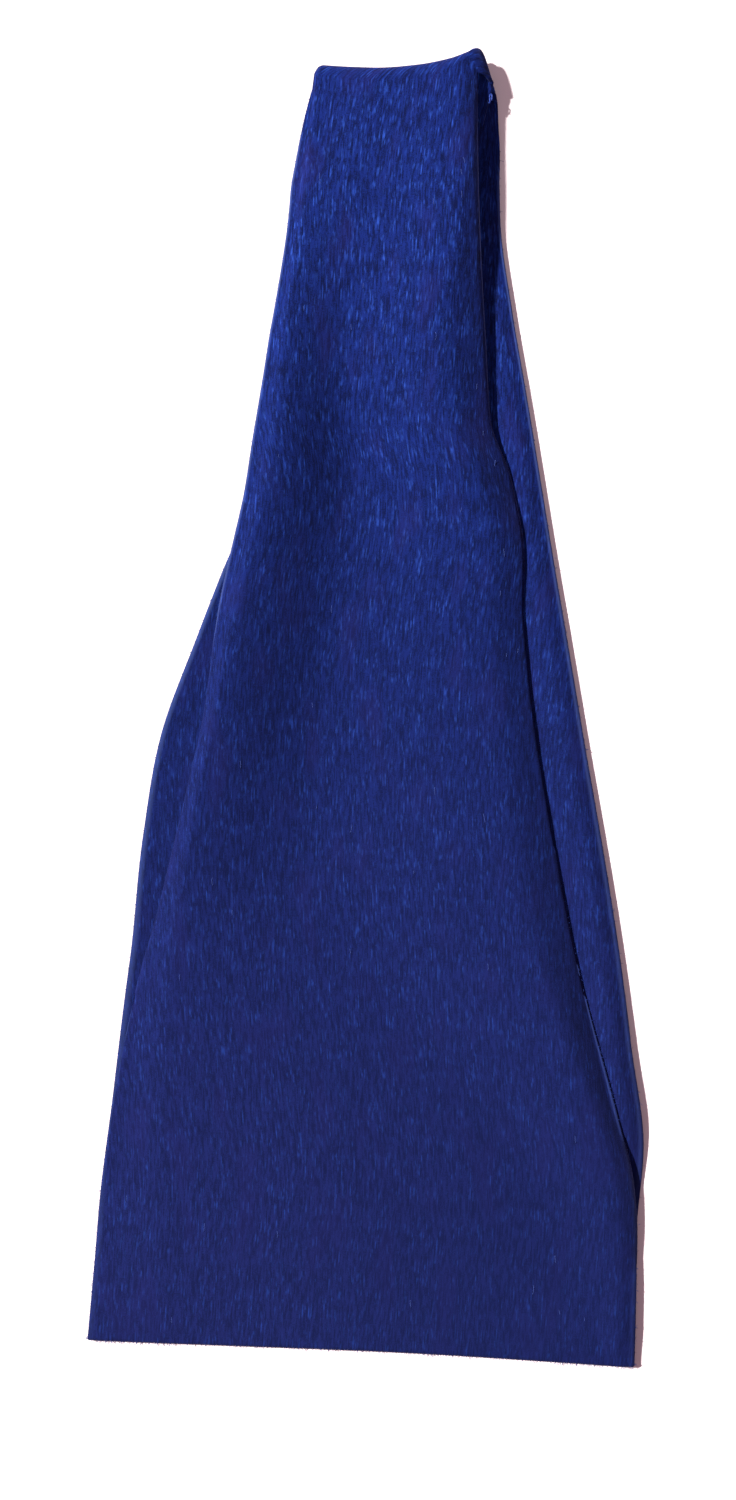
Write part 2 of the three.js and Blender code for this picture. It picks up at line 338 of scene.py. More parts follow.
class Cloth:
    """The middle of the cloth, row by row from one seam allowance's free edge round to the other's."""

    def __init__(self, thickness):
        self.half_cloth = thickness / MM / 2
        self.rows = []
        self.fold = None
        self.face = self.outward = self.across = None
        self.q = across_shares()

    @property
    def stack(self):
        """Half the thickness of the two allowances together."""
        return SEAM_GAP / 2 + 2 * self.half_cloth

    def add(self, x, y, z):
        self.rows.append(np.stack(np.broadcast_arrays(x, y, z), 1).astype(float))


BAND = Cloth(0.6 * MM)


def fold_offsets(q):
    """How far the front and back folds stand from the ends of the band's box, across the cloth."""
    share = (q + 1) / 2
    return through(FRONT_FOLD_LINE, share), through(BACK_FOLD_LINE, share)


def cloth_rows(band, upper_rows=250, lower_rows=120):
    """Fills in the band's rows."""
    q = band.q
    front_past, _ = fold_offsets(q)
    _, y_back, x_up, z_up, x_low, z_low = back_fold_ends(band)
    radius = (z_up - z_low) / 2
    centre_z = (z_up + z_low) / 2
    centre_y = y_back - radius
    bend_height = SEAM_GAP / 2 + band.half_cloth + SEAM_BEND
    open_angle = np.arcsin(np.clip(bend_height / radius, 0, 0.95))
    x_seam = x_up + (x_low - x_up) * SEAM_SHARE

    lean = FOLD_LEAN * smooth(0.78, 1, q)
    fold = BackFold(x_seam, centre_y + radius * np.cos(open_angle) - SEAM_BEND - SEAM_SHARE * lean, centre_z)
    band.fold = fold

    def allowance(side, steps=12):
        """One allowance, from its free edge through its turn."""
        rows = []
        for inward in np.linspace(ALLOWANCE_FLAT, 0, steps):
            x, y, z = fold.at(inward)
            rows.append((x, y, z + side * (SEAM_GAP / 2 + band.half_cloth)))
        for angle in np.linspace(-90, 0, 5)[1:]:
            turn = math.radians(angle)
            y = fold.y + SEAM_BEND * math.cos(turn)
            z = centre_z + side * (bend_height + SEAM_BEND * math.sin(turn))
            rows.append((x_seam, y, z))
        return rows

    def back_fold(side, steps=12):
        """One half of the rounded back fold."""
        rows = []
        for share in np.linspace(0, 1, steps)[1:]:
            angle = open_angle + (math.pi / 2 - open_angle) * share
            round_fold = ((1 - side * np.sin(angle)) / 2) ** 0.5
            at_seam = ((1 - side * np.sin(open_angle)) / 2) ** 0.5
            end = 0 if side > 0 else 1
            turned = end + (round_fold - end) * (SEAM_SHARE - end) / (at_seam - end)
            x = x_up + (x_low - x_up) * turned
            y = centre_y + radius * np.cos(angle) - lean * turned
            rows.append((x, y, centre_z + side * radius * np.sin(angle)))
        return rows

    for row in allowance(1) + back_fold(1):
        band.add(*row)
    y_front = BAND_LOW.y - front_past
    front_radius = 0.45
    start = y_front + front_radius
    for share in np.linspace(1, 0, upper_rows)[1:]:
        y = ply_line(share, start, centre_y)
        along = (ply_line(share, np.array([BAND_LOW.y]), np.array([BAND_HIGH.y]))[0] - BAND_LOW.y) / LENGTH
        x, z = upper_ply(q, along, y)
        z = rest_on_lower(x, y, z, along)
        band.add(x, y, z)
    x_top, _, z_top = band.rows[-1].T
    x_bottom, z_bottom = lower_ply(q, 0.0)
    fold_radius = (z_top - z_bottom) / 2
    for angle in np.linspace(0, math.pi, 12)[1:]:
        share = angle / math.pi
        x = x_top + (x_bottom - x_top) * share
        z = (z_top + z_bottom) / 2 + fold_radius * math.cos(angle)
        band.add(x, start - front_radius * math.sin(angle), z)
    for share in np.linspace(0, 1, lower_rows)[1:]:
        y = ply_line(share, start, centre_y - lean)
        x, z = lower_ply(q, share)
        band.add(x, y, z)
    for row in back_fold(-1)[:-1][::-1] + allowance(-1)[::-1]:
        band.add(*row)


def ply_line(share, front, back):
    """A place along a ply. Its rows are square to the band, and follow the folds only near its ends."""
    square = np.mean(front) + (np.mean(back) - np.mean(front)) * share
    to_back = (back - np.mean(back)) * smooth(0.86, 1, share)
    to_front = (front - np.mean(front)) * (1 - smooth(0, 0.12, share))
    return square + to_back + to_front


def back_fold_ends(band):
    """Where the back fold's upper and lower ends are, across the cloth."""
    q = band.q
    front_past, back_past = fold_offsets(q)
    y_back = BAND_HIGH.y + back_past
    x_up, z_up = upper_ply(q, 1.0, y_back)
    x_low, z_low = lower_ply(q, 1.0)
    return front_past, y_back, x_up, z_up, x_low, z_low


# ---------------------------------------------------------------- meshes


def mesh_object(name, points, faces, uvs=None, marks=None):
    """A smooth mesh object in metres from points in millimetres. uvs go by point, as do the marks."""
    mesh = bpy.data.meshes.new(name)
    mesh.from_pydata((np.asarray(points) * MM).tolist(), [], faces)
    mesh.polygons.foreach_set("use_smooth", [True] * len(mesh.polygons))
    if uvs is not None:
        layer = mesh.uv_layers.new(name="Cloth")
        corners = np.zeros(len(mesh.loops), np.int32)
        mesh.loops.foreach_get("vertex_index", corners)
        layer.data.foreach_set("uv", np.asarray(uvs, np.float32)[corners].ravel())
    for key, values in (marks or {}).items():
        attribute = mesh.attributes.new(key, "FLOAT", "POINT")
        attribute.data.foreach_set("value", np.asarray(values, np.float32))
    mesh.update()
    made = bpy.data.objects.new(name, mesh)
    bpy.context.scene.collection.objects.link(made)
    return made


def grid_faces(first, rows, columns, flip=False):
    """The faces of a grid of points."""
    i, j = np.meshgrid(np.arange(rows - 1), np.arange(columns - 1), indexing="ij")
    a = first + i * columns + j
    quads = np.stack([a, a + 1, a + columns + 1, a + columns], -1).reshape(-1, 4)
    return quads[:, ::-1] if flip else quads


def cloth_mesh(name, band, rim):
    """The cloth as a closed solid: two faces, and a softly rounded rim where it is cut."""
    middle = np.array(band.rows)
    rows, columns, _ = middle.shape
    along = np.gradient(middle, axis=0)
    across = np.gradient(middle, axis=1)
    outward = np.cross(along, across)
    outward /= np.linalg.norm(outward, axis=2, keepdims=True)
    outer = middle + outward * band.half_cloth
    inner = middle - outward * band.half_cloth
    steps = np.linalg.norm(np.diff(middle, axis=0), axis=2).mean(1)
    v = np.concatenate([[0], np.cumsum(steps)])
    sideways = np.linalg.norm(np.diff(middle, axis=1), axis=2)
    u = np.concatenate([np.zeros((rows, 1)), np.cumsum(sideways, axis=1)], axis=1)
    u -= u[:, -1:] / 2
    uv = np.stack([u, np.broadcast_to(v[:, None], u.shape)], -1) * MM

    ring = [(i, 0) for i in range(rows)] + [(rows - 1, j) for j in range(1, columns)]
    ring += [(i, columns - 1) for i in range(rows - 2, -1, -1)]
    ring += [(0, j) for j in range(columns - 2, 0, -1)]
    ring = np.array(ring)
    i, j = ring.T
    out = np.where((j == 0)[:, None], -across[i, j], 0)
    out = out + np.where((j == columns - 1)[:, None], across[i, j], 0)
    out = out + np.where((i == 0)[:, None], -along[i, j], 0)
    out = out + np.where((i == rows - 1)[:, None], along[i, j], 0)
    out /= np.linalg.norm(out, axis=1, keepdims=True)
    lip = middle[i, j] + out * rim

    count = rows * columns
    points = np.concatenate([outer.reshape(-1, 3), inner.reshape(-1, 3), lip])
    uvs = np.concatenate([uv.reshape(-1, 2), uv.reshape(-1, 2), uv[i, j]])
    near_cut = np.zeros((rows, columns))
    near_cut[:, [2, -3]] = 0.35
    near_cut[:, [1, -2]] = 0.8
    near_cut[:, [0, -1]] = 1
    v_share = v[:, None] / v[-1]
    near_cut = near_cut * smooth(0.03, 0.06, v_share) * smooth(0.97, 0.94, v_share)
    cut = np.concatenate([near_cut.ravel(), near_cut.ravel(), 0.6 * near_cut[i, j]])
    outside = i * columns + j
    after = np.roll(outside, -1)
    lips = 2 * count + np.arange(len(ring))
    lips_after = np.roll(lips, -1)
    faces = [
        grid_faces(0, rows, columns),
        grid_faces(count, rows, columns, flip=True),
        np.stack([outside, after, lips_after, lips], 1),
        np.stack([lips, lips_after, count + after, count + outside], 1),
    ]
    made = mesh_object(name, points, np.concatenate(faces).tolist(), uvs, {"cut_edge": cut})
    band.face, band.outward, band.across = outer, outward, across
    return made, uv


def tube(points, radius, sides=8):
    """Points, faces and UVs of a closed round tube along a line, in millimetres."""
    line = np.asarray(points, float)
    tangent = np.gradient(line, axis=0)
    tangent /= np.linalg.norm(tangent, axis=1, keepdims=True)
    normal = np.cross(tangent[0], (0.3, 0.2, 0.9))
    frames = []
    for t in tangent:
        normal = normal - t * np.dot(normal, t)
        normal /= np.linalg.norm(normal)
        frames.append((normal, np.cross(t, normal)))
    turn = np.linspace(0, 2 * math.pi, sides, endpoint=False)
    rings = []
    for p, (a, b) in zip(line, frames):
        rings.append(p + radius * (np.outer(np.cos(turn), a) + np.outer(np.sin(turn), b)))
    far = np.concatenate([[0], np.cumsum(np.linalg.norm(np.diff(line, axis=0), axis=1))])
    made = np.concatenate([*rings, line[:1], line[-1:]])
    uvs = [(k / sides, d) for d in far for k in range(sides)] + [(0, 0), (0, far[-1])]
    faces = []
    for i in range(len(line) - 1):
        for k in range(sides):
            a, b = i * sides + k, i * sides + (k + 1) % sides
            faces.append((a, b, b + sides, a + sides))
    start, end = len(line) * sides, len(line) * sides + 1
    last = (len(line) - 1) * sides
    faces += [(start, (k + 1) % sides, k) for k in range(sides)]
    faces += [(end, last + k, last + (k + 1) % sides) for k in range(sides)]
    return made, faces, np.array(uvs)


def spline(points, per_point):
    """A Catmull-Rom line through points, with this many steps between each two."""
    p = np.asarray(points, float)
    p = np.concatenate([[2 * p[0] - p[1]], p, [2 * p[-1] - p[-2]]])
    t = np.linspace(0, 1, per_point, endpoint=False)[:, None]
    parts = []
    for a, b, c, d in zip(p, p[1:], p[2:], p[3:]):
        parts.append(0.5 * (2 * b + (c - a) * t + (2 * a - 5 * b + 4 * c - d) * t**2
                            + (3 * b - a - 3 * c + d) * t**3))
    return np.concatenate([*parts, p[-2:-1]])


# ---------------------------------------------------------------- materials


class Wire:
    """A shader value that Python arithmetic works on. Each operation adds its Math node."""

    def __init__(self, shader, socket):
        self.shader, self.socket = shader, socket

    def maths(self, operation, *others):
        values = dict(enumerate((self, *others)))
        return self.shader.node("ShaderNodeMath", {"operation": operation}, values)

    def __add__(self, other):
        return self.maths("ADD", other)

    def __sub__(self, other):
        return self.maths("SUBTRACT", other)

    def __rsub__(self, other):
        return self.shader.node("ShaderNodeMath", {"operation": "SUBTRACT"}, {0: other, 1: self})

    def __mul__(self, other):
        return self.maths("MULTIPLY", other)

    def __pow__(self, other):
        return self.maths("POWER", other)

    __radd__ = __add__
    __rmul__ = __mul__

    def step(self, low, high):
        """0 up to low, 1 from high, and smooth between."""
        inputs = {"Value": self, "From Min": low, "From Max": high}
        return self.shader.node("ShaderNodeMapRange", {"interpolation_type": "SMOOTHSTEP"}, inputs)


class Shader:
    """A material being built, and the one way that its nodes are made."""

    def __init__(self, name, finish):
        self.material = bpy.data.materials.new(name)
        self.material.use_nodes = True
        self.tree = self.material.node_tree
        self.surface = self.tree.nodes["Principled BSDF"]
        for key, value in finish.items():
            self.surface.inputs[key].default_value = value

    def node(self, kind, settings=None, inputs=None, output=0):
        """Any node: its settings, then its sockets' values or links."""
        made = self.tree.nodes.new(kind)
        for key, value in (settings or {}).items():
            setattr(made, key, value)
        for key, value in (inputs or {}).items():
            self.plug(made.inputs[key], value)
        return Wire(self, made.outputs[output])

    def plug(self, socket, value):
        if isinstance(value, Wire):
            self.tree.links.new(value.socket, socket)
        else:
            socket.default_value = value

    def mix(self, a, b, share):
        """One colour to another."""
        settings = {"data_type": "RGBA"}
        return self.node("ShaderNodeMix", settings, {0: share, 6: a, 7: b}, output=2)

    def noise(self, at, detail=2.0, roughness=0.5, distortion=0.0):
        inputs = {"Vector": at, "Scale": 1.0, "Detail": detail, "Roughness": roughness}
        inputs["Distortion"] = distortion
        return self.node("ShaderNodeTexNoise", {}, inputs)

    def strands(self, at, width, length, seed):
        """Straight strands, this wide and about this long in millimetres, each with its own tone."""
        sideways = self.node("ShaderNodeSeparateXYZ", {}, {0: at}, output=0)
        lengthways = self.node("ShaderNodeSeparateXYZ", {}, {0: at}, output=1)
        lane = (sideways * (1 / (width * MM)) + seed).maths("FLOOR") * 17.31
        far = lengthways * (1 / (length * MM)) + seed
        place = self.node("ShaderNodeCombineXYZ", {}, {0: lane, 1: far})
        return self.noise(place, detail=2.0, roughness=0.6)

    def scaled(self, at, x, y, z=1.0):
        return self.node("ShaderNodeVectorMath", {"operation": "MULTIPLY"}, {0: at, 1: (x, y, z)})

    def finish(self, **sockets):
        for key, value in sockets.items():
            self.plug(self.surface.inputs[key.replace("_", " ")], value)
        return self.material


def rgba(colour):
    return (*colour[:3], 1.0)


PAINTED_SHADE_SHARE = 0.3  # brightness of the painted shade towards the front, as a share of the main colour


def jersey_material(settings, panel_length):
    """Brushed stretch jersey: fine strands along the band, light over dark, with a soft nap."""
    shader = Shader(
        "brushed_jersey",
        {"Sheen Weight": settings.sheen, "Sheen Roughness": 0.45, "Sheen Tint": rgba(settings.nap_colour),
         "Specular IOR Level": 0.06},
    )
    cloth = shader.node("ShaderNodeUVMap", {"uv_map": "Cloth"})
    drift = shader.noise(shader.scaled(cloth, 160, 60), detail=1.0)
    strands = shader.strands(cloth, settings.strand_width / MM, 3.4, 3.7)
    flecks = shader.strands(cloth, settings.strand_width / MM, 3.2, 11.3)
    fine = shader.noise(shader.scaled(cloth, 7000, 3800), detail=2.0)
    patches = shader.noise(shader.scaled(cloth, 420, 170), detail=2.0)
    along = shader.node("ShaderNodeSeparateXYZ", {}, {0: cloth}, output=1)
    aside = shader.node("ShaderNodeSeparateXYZ", {}, {0: cloth}, output=0) * (1 / (FRONT_HALF_WIDTH * MM))
    front = 1 - (along * (2 / panel_length) - 1).maths("ABSOLUTE")
    cut = shader.node("ShaderNodeAttribute", {"attribute_name": "cut_edge"}, {}, output=2)

    tone = strands * 0.62 + fine * 0.38
    light = tone.step(0.4, 0.6)
    bright = flecks.step(0.52, 0.74) * patches.step(0.2, 0.7)
    dyed = shader.mix(rgba(settings.shade_colour), rgba(settings.dye_colour), light)
    # Painted fall-off of light: the front is painted greyer and duller, and its bright flecks fainter.
    painted_falloff_shade = rgba([c * 0.45 for c in settings.painted_falloff_colour])
    painted_falloff = shader.mix(painted_falloff_shade, rgba(settings.painted_falloff_colour), light)
    base = shader.mix(dyed, painted_falloff, front.step(0.3, 0.95) * 0.75)
    base = shader.mix(base, rgba(settings.strand_colour), bright * (0.95 - front * 0.4))
    base = shader.mix(base, rgba(settings.warm_colour), drift.step(0.5, 0.75) * 0.3)
    # Painted shade: darker towards the front, and there towards the right. Leave both mixes out to even it.
    painted_shade = rgba([c * PAINTED_SHADE_SHARE for c in settings.dye_colour])
    base = shader.mix(base, painted_shade, front.step(0.08, 0.6) * 0.4)
    base = shader.mix(base, painted_shade, aside.step(-0.6, 0.6) * front.step(0.55, 0.95) * 0.3)
    base = shader.mix(base, rgba(settings.edge_colour), cut.step(0.2, 0.9) * (0.6 - front * 0.55))
    height = strands * 0.7 + fine * 0.3
    bump = shader.node("ShaderNodeBump", {}, {"Height": height, "Strength": 0.5, "Distance": 0.12 * MM})
    rough = 0.92 - bright * 0.25
    return shader.finish(Base_Color=base, Roughness=rough, Normal=bump)


def thread_material(settings):
    """Spun polyester thread: two plies twisted together, with painted shade in the grooves between them."""
    shader = Shader("overlock_thread", {"Sheen Weight": 0.05, "Specular IOR Level": 0.2})
    along = shader.node("ShaderNodeUVMap", {"uv_map": "Cloth"})
    turns = shader.node("ShaderNodeSeparateXYZ", {}, {0: along}, output=0)
    far = shader.node("ShaderNodeSeparateXYZ", {}, {0: along}, output=1)
    twist = ((turns * 2 + far * 1.6) * math.tau).maths("SINE") * 0.5 + 0.5
    # Painted shade: the grooves between the plies are painted darker, down to 0.45 of the thread's colour.
    colour = shader.mix(rgba([c * 0.45 for c in settings.thread_colour]), rgba(settings.thread_colour), twist)
    bump = shader.node("ShaderNodeBump", {}, {"Height": twist, "Strength": 0.8, "Distance": 0.05 * MM})
    return shader.finish(Base_Color=colour, Roughness=0.5, Normal=bump)


def floor_material(settings):
    """Plain pale board with a very faint grain."""
    shader = Shader("pale_floor", {"Specular IOR Level": 0.2})
    place = shader.node("ShaderNodeTexCoord", {}, {}, output=3)
    grain = shader.noise(shader.scaled(place, 300, 300), detail=3.0)
    pale = rgba(settings.floor_colour)
    colour = shader.mix(rgba([c * 0.985 for c in settings.floor_colour]), pale, grain)
    return shader.finish(Base_Color=colour, Roughness=0.8)


# ---------------------------------------------------------------- settings


class SweatbandCloth(bpy.types.PropertyGroup):
    """The jersey and how it is dyed."""

    thickness: bpy.props.FloatProperty(
        name="Thickness", description="Thickness of the jersey", default=0.6 * MM, min=0.2 * MM, unit="LENGTH"
    )
    dye_colour: bpy.props.FloatVectorProperty(
        name="Dye", description="The jersey's main colour", default=(0.0035, 0.0112, 0.093), subtype="COLOR"
    )
    shade_colour: bpy.props.FloatVectorProperty(
        name="Shade", description="Colour between strands", default=(0.0011, 0.0032, 0.027), subtype="COLOR"
    )
    strand_colour: bpy.props.FloatVectorProperty(
        name="Strands", description="Colour of the lightest strands", default=(0.012, 0.045, 0.27),
        subtype="COLOR",
    )
    warm_colour: bpy.props.FloatVectorProperty(
        name="Warm tint", description="A purple cast in places", default=(0.010, 0.009, 0.07), subtype="COLOR"
    )
    edge_colour: bpy.props.FloatVectorProperty(
        name="Cut edge", description="Colour of the cut edges", default=(0.04, 0.065, 0.19), subtype="COLOR"
    )
    # Painted fall-off of light: the greyer, duller colour painted over the front.
    painted_falloff_colour: bpy.props.FloatVectorProperty(
        name="Painted_falloff", description="Colour that the front has softened towards",
        default=(0.0095, 0.0125, 0.078), subtype="COLOR",
    )
    strand_width: bpy.props.FloatProperty(
        name="Strand width", description="Width of one strand", default=0.23 * MM, unit="LENGTH"
    )
    nap_colour: bpy.props.FloatVectorProperty(
        name="Nap colour", description="Colour of the nap seen edge on", default=(0.2, 0.24, 0.55),
        subtype="COLOR",
    )
    sheen: bpy.props.FloatProperty(
        name="Nap", description="How much the brushed nap catches light", default=0.08, min=0, max=1
    )


class SweatbandSeam(bpy.types.PropertyGroup):
    """The overlocked back seam."""

    thread_diameter: bpy.props.FloatProperty(
        name="Thread", description="Diameter of the thread", default=0.28 * MM, min=0.1 * MM, unit="LENGTH"
    )
    stitch_length: bpy.props.FloatProperty(
        name="Stitch length", description="Length of one stitch", default=2.2 * MM, min=1 * MM, unit="LENGTH"
    )
    thread_colour: bpy.props.FloatVectorProperty(
        name="Thread colour", description="The thread's colour", default=(0.012, 0.045, 0.29), subtype="COLOR"
    )


class SweatbandFibres(bpy.types.PropertyGroup):
    """The loose fibres of the nap, and lint."""

    fold_fibres: bpy.props.IntProperty(
        name="Fold fibres", description="Loose fibres along the front fold", default=520
    )
    edge_fibres: bpy.props.IntProperty(
        name="Edge fibres", description="Loose fibres along the cut edges", default=1300
    )
    lint: bpy.props.IntProperty(
        name="Lint", description="Pale fibres that have settled on the cloth", default=44
    )
    seed: bpy.props.IntProperty(name="Seed", description="Which fibres they are", default=5)
    nap_colour: bpy.props.FloatVectorProperty(
        name="Fibres", description="Colour of the loose fibres", default=(0.012, 0.025, 0.14), subtype="COLOR"
    )
    lint_colour: bpy.props.FloatVectorProperty(
        name="Lint colour", description="Colour of the lint", default=(0.045, 0.075, 0.26), subtype="COLOR"
    )


class SweatbandStage(bpy.types.PropertyGroup):
    """The floor, the light and the camera."""

    floor_colour: bpy.props.FloatVectorProperty(
        name="Floor", description="Colour of the floor", default=(0.6, 0.53, 0.54), subtype="COLOR"
    )
    key_strength: bpy.props.FloatProperty(
        name="Key light", description="Strength of the key light", default=10.4
    )
    lamp_power: bpy.props.FloatProperty(
        name="Lamp", description="Power of the near lamp on the key light's side", default=0.7, unit="POWER"
    )
    key_angle: bpy.props.FloatProperty(
        name="Key softness", description="Width of the key light seen from the floor",
        default=math.radians(3.5), subtype="ANGLE",
    )
    key_height: bpy.props.FloatProperty(
        name="Key height", description="How high the key light stands over the floor",
        default=math.radians(44), subtype="ANGLE",
    )
    key_turn: bpy.props.FloatProperty(
        name="Key turn", description="How far the key light stands behind the left", default=math.radians(23),
        subtype="ANGLE",
    )
    room_colour: bpy.props.FloatVectorProperty(
        name="Room light", description="Colour of the light from the room", default=(0.33, 0.185, 0.245),
        subtype="COLOR",
    )
    camera_distance: bpy.props.FloatProperty(
        name="Camera distance", description="Height of the camera over the floor", default=0.385,
        unit="LENGTH",
    )
    camera_turn: bpy.props.FloatProperty(
        name="Camera turn", description="How far the picture is turned about the view",
        default=math.radians(1.85), subtype="ANGLE",
    )


# ---------------------------------------------------------------- operators


class SWEATBAND_OT_cloth(bpy.types.Operator):
    """Make the band's one panel of jersey"""

    bl_idname = "sweatband.cloth"
    bl_label = "Band panel"

    def execute(self, context):
        settings = context.scene.sweatband_cloth
        BAND.half_cloth = settings.thickness / MM / 2
        BAND.rows.clear()
        cloth_rows(BAND)
        panel, uv = cloth_mesh("band_cloth", BAND, rim=0.16)
        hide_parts("band_panel")
        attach(panel, "root")
        width, length = 2 * FRONT_HALF_WIDTH * MM, float(uv[-1, 0, 1])
        panel.data.materials.append(jersey_material(settings, length))
        return {"FINISHED"}


def seam_ends(fold):
    """How far along the seam the stitches run."""
    return float(fold.x[0]) + 0.7, float(fold.x[-1]) - 1.6


def needle_line(fold, settings):
    """The needle thread: a row of stitches along the seam that dips into the cloth between each two."""
    start, end = seam_ends(fold)
    stitch = settings.stitch_length / MM
    radius = settings.thread_diameter / MM / 2
    top = BAND.stack + radius
    inward = ALLOWANCE_FLAT - OVERLOCK_WIDTH
    points = []
    for k in range(int((end - start) / stitch)):
        for share, height in ((0.0, -0.2), (0.12, 0.0), (0.5, 0.06), (0.88, 0.0)):
            points.append(fold.point(start + (k + share) * stitch, inward, top + height))
    return spline(points, 4), radius


# The upper looper thread's loose end, doubled back on itself: right, back and up from its last lap.
LOOSE_END = (
    (1.2, 0.2, 0.1), (2.3, 0.6, 0.2), (2.55, 0.1, 0.2), (2.6, -1.0, 0.2), (2.8, -1.25, 0.25),
    (3.0, -1.0, 0.3), (2.95, 0.0, 0.35), (3.15, 0.3, 0.4), (3.35, 0.0, 0.4), (3.3, -0.8, 0.35),
)


def looper_line(fold, settings, side):
    """A looper thread: it runs between the needle line and the free edge, and laps over that edge."""
    start, end = seam_ends(fold)
    stitch = settings.stitch_length / MM
    radius = settings.thread_diameter / MM / 2
    height = side * (BAND.stack + radius)
    near = ALLOWANCE_FLAT - OVERLOCK_WIDTH
    edge = ALLOWANCE_FLAT
    shift = 0 if side > 0 else 0.5 * stitch
    points = []
    for k in range(int((end - start - shift) / stitch)):
        x = start + shift + k * stitch
        random = np.random.default_rng(40 + k + (100 if side > 0 else 0))
        slack = random.uniform(-0.12, 0.12, 3)
        points += [
            fold.point(x, near - 0.1, height * 1.25),
            fold.point(x + 0.16 * stitch, near + 0.9, height),
            fold.point(x + (0.3 + 0.4 * slack[0]) * stitch, (near + edge) / 2, height),
            fold.point(x + 0.42 * stitch, edge - 0.3 + slack[1], height),
            fold.point(x + 0.5 * stitch, edge + 0.35 + 0.6 * slack[2], height * 0.25),
            fold.point(x + 0.6 * stitch, edge - 0.3 + slack[0], height),
            fold.point(x + (0.74 + 0.4 * slack[2]) * stitch, (near + edge) / 2, height),
            fold.point(x + 0.9 * stitch, near + 0.7, height),
        ]
    if side > 0:
        points = points[:-3]
        x, y, z = points[-1]
        points += [(x + right, y + back, z + up) for right, back, up in LOOSE_END]
    return spline(points, 4), radius


class SWEATBAND_OT_seam(bpy.types.Operator):
    """Make the three threads of the overlocked back seam"""

    bl_idname = "sweatband.seam"
    bl_label = "Overlock threads"

    def execute(self, context):
        settings = context.scene.sweatband_seam
        thread = thread_material(settings)
        fold = BAND.fold
        lines = {
            "needle_thread": (needle_line(fold, settings), "seam_needle_thread"),
            "upper_looper_thread": (looper_line(fold, settings, 1), "seam_upper_looper_thread"),
            "lower_looper_thread": (looper_line(fold, settings, -1), "seam_lower_looper_thread"),
        }
        for name, ((line, radius), node) in lines.items():
            points, faces, uvs = tube(line, radius)
            made = mesh_object(name, points, faces, uvs)
            made.data.materials.append(thread)
            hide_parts(node)
            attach(made, "root")
        return {"FINISHED"}


# Lengths and radii of the loose fibres, in millimetres.
FOLD_FIBRE_LENGTH = (0.2, 0.5)
EDGE_FIBRE_LENGTH = (0.15, 0.45)
LINT_LENGTH = (0.6, 1.8)
NAP_RADIUS = 0.03
LINT_RADIUS = 0.04


def fibre(root, out, aside, random, length):
    """One loose fibre: it leaves the cloth and bends over to one side."""
    out = out / np.linalg.norm(out)
    lean = aside * random.uniform(-0.6, 0.6) + random.normal(0, 0.25, 3)
    bend = random.normal(0, 0.35, 3)
    shares = np.linspace(0, 1, 4)[:, None]
    return root - 0.04 * out + length * (shares * (out + lean) + shares**2 * bend)


def many_tubes(lines, radius):
    """One mesh's points and faces for many thin closed tubes."""
    points, faces, first = [], [], 0
    for line in lines:
        made, parts, _ = tube(line, radius, sides=3)
        made[:, 2] = np.maximum(made[:, 2], 0.02 + 0.02 * (made[:, 2] - made[:, 2].min()))
        points.append(made)
        faces += [tuple(k + first for k in part) for part in parts]
        first += len(made)
    return np.concatenate(points), faces


class SWEATBAND_OT_fibres(bpy.types.Operator):
    """Make the loose fibres of the nap along the folds and cut edges, and a little lint"""

    bl_idname = "sweatband.fibres"
    bl_label = "Loose fibres"

    def execute(self, context):
        settings = context.scene.sweatband_fibres
        random = np.random.default_rng(settings.seed)
        rows, columns, _ = BAND.face.shape
        front = int(np.argmin(BAND.face[:, columns // 2, 1]))
        along = np.array([0.0, 1.0, 0.0])
        nap = []
        for _ in range(settings.fold_fibres):
            i, j = front + random.integers(-3, 4), random.integers(1, columns - 1)
            between = random.uniform(0, 1)
            root = BAND.face[i, j] * (1 - between) + BAND.face[i, j + 1] * between
            length = random.uniform(*FOLD_FIBRE_LENGTH)
            nap.append(fibre(root, BAND.outward[i, j], BAND.across[i, j] * 0.3, random, length))
        for _ in range(settings.edge_fibres):
            side = random.choice([-1, 1])
            i, j = random.integers(30, rows - 30), 0 if side < 0 else columns - 1
            across = BAND.across[i, j] / np.linalg.norm(BAND.across[i, j]) * side
            root = BAND.face[i, j] - BAND.outward[i, j] * random.uniform(0, 2) * BAND.half_cloth
            length = random.uniform(*EDGE_FIBRE_LENGTH)
            nap.append(fibre(root + 0.05 * across, across, along, random, length))
        lint = []
        while len(lint) < settings.lint:
            i, j = random.integers(40, front - 5), random.integers(8, columns - 8)
            if BAND.outward[i, j, 2] < 0.8:
                continue
            lie = random.normal(0, 1, 3) * (0.15, 0.2, 0) + along
            lie = lie / np.linalg.norm(lie)
            shares = np.linspace(-0.5, 0.5, 5)[:, None]
            curve = shares**2 * random.normal(0, 0.25, 3) * (1, 0, 0)
            place = BAND.face[i, j] + BAND.outward[i, j] * 0.05
            lint.append(place + random.uniform(*LINT_LENGTH) * (shares * lie + curve))
        kinds = {
            "nap_fibres": (nap, NAP_RADIUS, settings.nap_colour),
            "lint_fibres": (lint, LINT_RADIUS, settings.lint_colour),
        }
        for name, (lines, radius, colour) in kinds.items():
            made = mesh_object(name, *many_tubes(lines, radius))
            finish = {"Base Color": rgba(colour), "Roughness": 0.8, "Specular IOR Level": 0.1}
            made.data.materials.append(Shader(name, finish).material)
            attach(made, "root")
        return {"FINISHED"}


class SWEATBAND_OT_stage(bpy.types.Operator):
    """Set the floor, the light and the camera"""

    bl_idname = "sweatband.stage"
    bl_label = "Stage"

    def execute(self, context):
        settings = context.scene.sweatband_stage
        scene = context.scene
        scene.view_settings.view_transform = "Standard"
        add_floor(settings)
        turn = Matrix.Rotation(settings.camera_turn, 3, "Z")
        add_camera(scene, settings, turn)
        add_lights(scene, settings, turn)
        return {"FINISHED"}


